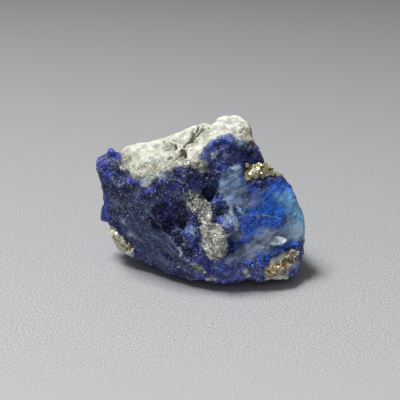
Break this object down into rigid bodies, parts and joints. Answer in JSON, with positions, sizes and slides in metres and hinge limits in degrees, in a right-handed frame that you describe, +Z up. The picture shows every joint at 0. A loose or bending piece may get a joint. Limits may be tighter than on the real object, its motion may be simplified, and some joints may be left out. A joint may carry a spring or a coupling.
{
  "type": "afghanite specimen",
  "caption": "Small broken chunk of deep blue afghanite with a white calcite cap and bands of brassy pyrite, standing on a small flat spot.",
  "frame": {"origin": "middle of the chunk's box, at the height of the surface that it rests on", "axes": "+Z up, +X along the chunk's longest extent towards its glassy end, -Y towards the viewer of its best face"},
  "size_m": [0.03, 0.0182, 0.0215],
  "materials": {
    "blue_stone": "satin"
  },
  "bodies": {
    "root": {"specimen": "blue_stone"}
  },
  "joints": []
}
